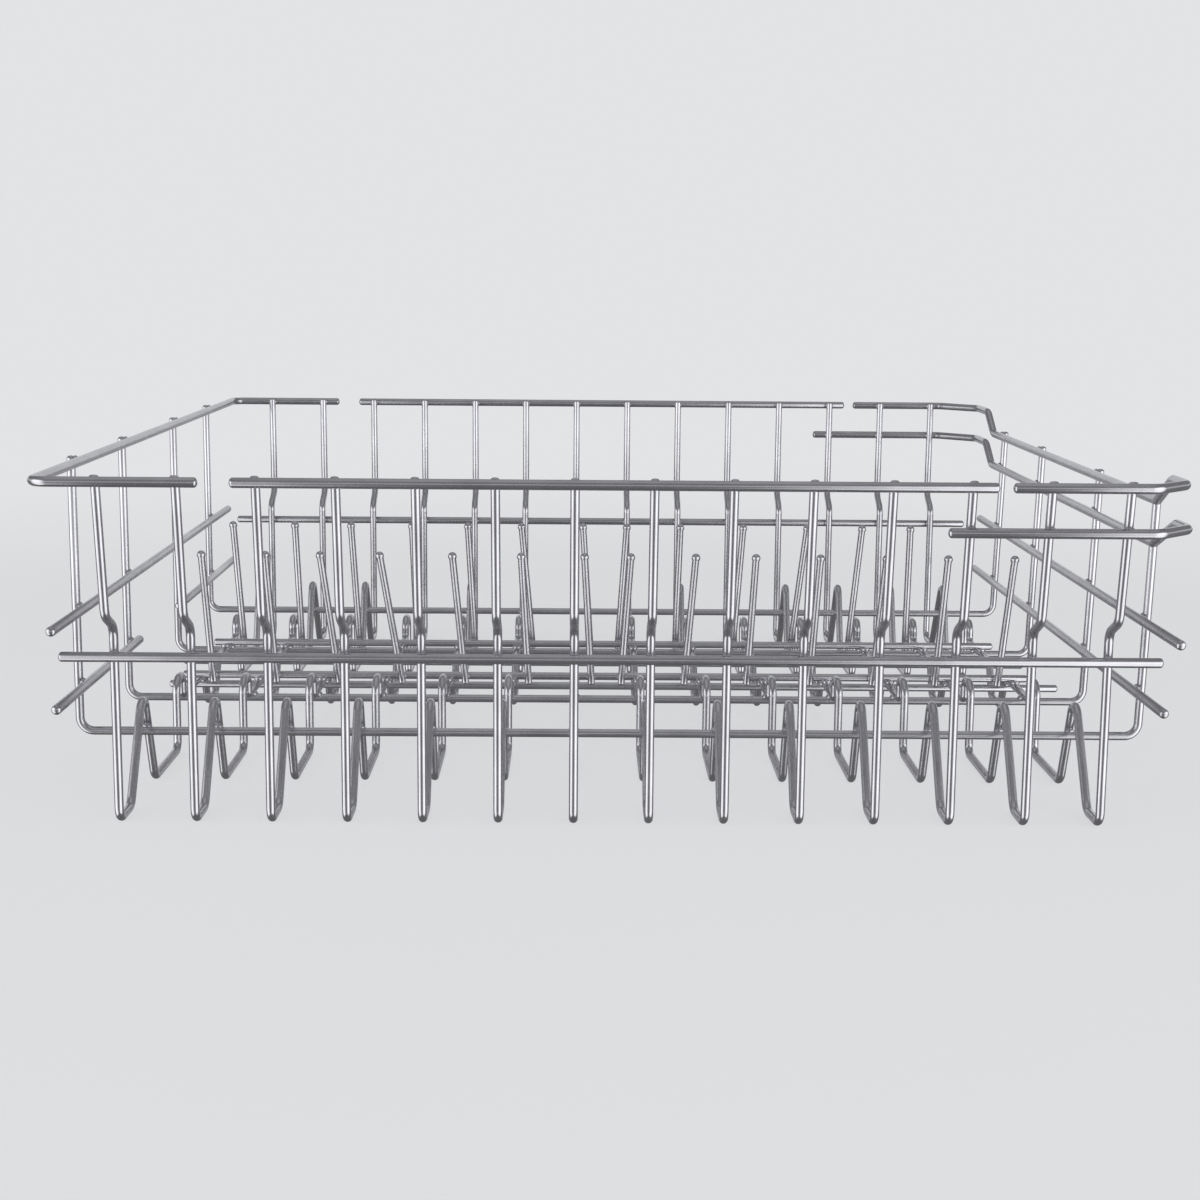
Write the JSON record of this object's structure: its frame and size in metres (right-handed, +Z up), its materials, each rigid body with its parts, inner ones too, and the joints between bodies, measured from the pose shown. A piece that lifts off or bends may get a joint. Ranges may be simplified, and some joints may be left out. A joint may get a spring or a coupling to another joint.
{
  "type": "dishwasher basket",
  "caption": "Open dishwasher basket of bent and welded coated wire, with a ridged floor, high walls and rows of tines that hold cups and plates.",
  "frame": {"origin": "under the middle of the basket's box, on the surface that it stands on", "axes": "+Z up, +X to the right seen from the front, -Y towards the front"},
  "size_m": [0.543, 0.542, 0.1699],
  "materials": {
    "coated_wire": "satin coating",
    "coated_rail": "satin coating",
    "coated_tine": "satin coating"
  },
  "bodies": {
    "root": {"base_wire_01": "coated_wire", "base_wire_02": "coated_wire", "base_wire_03": "coated_wire", "base_wire_04": "coated_wire", "base_wire_05": "coated_wire", "base_wire_06": "coated_wire", "base_wire_07": "coated_wire", "base_wire_08": "coated_wire", "base_wire_09": "coated_wire", "base_wire_10": "coated_wire", "base_wire_11": "coated_wire", "base_wire_12": "coated_wire", "base_wire_13": "coated_wire", "base_wire_14": "coated_wire", "cross_wire_1": "coated_wire", "cross_wire_2": "coated_wire", "cross_wire_3": "coated_wire", "cross_wire_4": "coated_wire", "front_tine_rod": "coated_wire", "back_tine_rod": "coated_wire", "front_support_rod": "coated_wire", "back_support_rod": "coated_wire", "front_top_rail": "coated_rail", "back_top_rail": "coated_rail", "left_rim": "coated_rail", "right_upper_rim": "coated_rail", "right_lower_rim": "coated_rail", "front_lower_rail": "coated_rail", "back_lower_rail": "coated_rail", "left_side_rail": "coated_rail", "left_front_side_rail": "coated_rail", "left_back_side_rail": "coated_rail", "right_upper_side_rail": "coated_rail", "right_lower_side_rail": "coated_rail", "front_tines": "coated_tine", "back_tines": "coated_tine"}
  },
  "joints": []
}
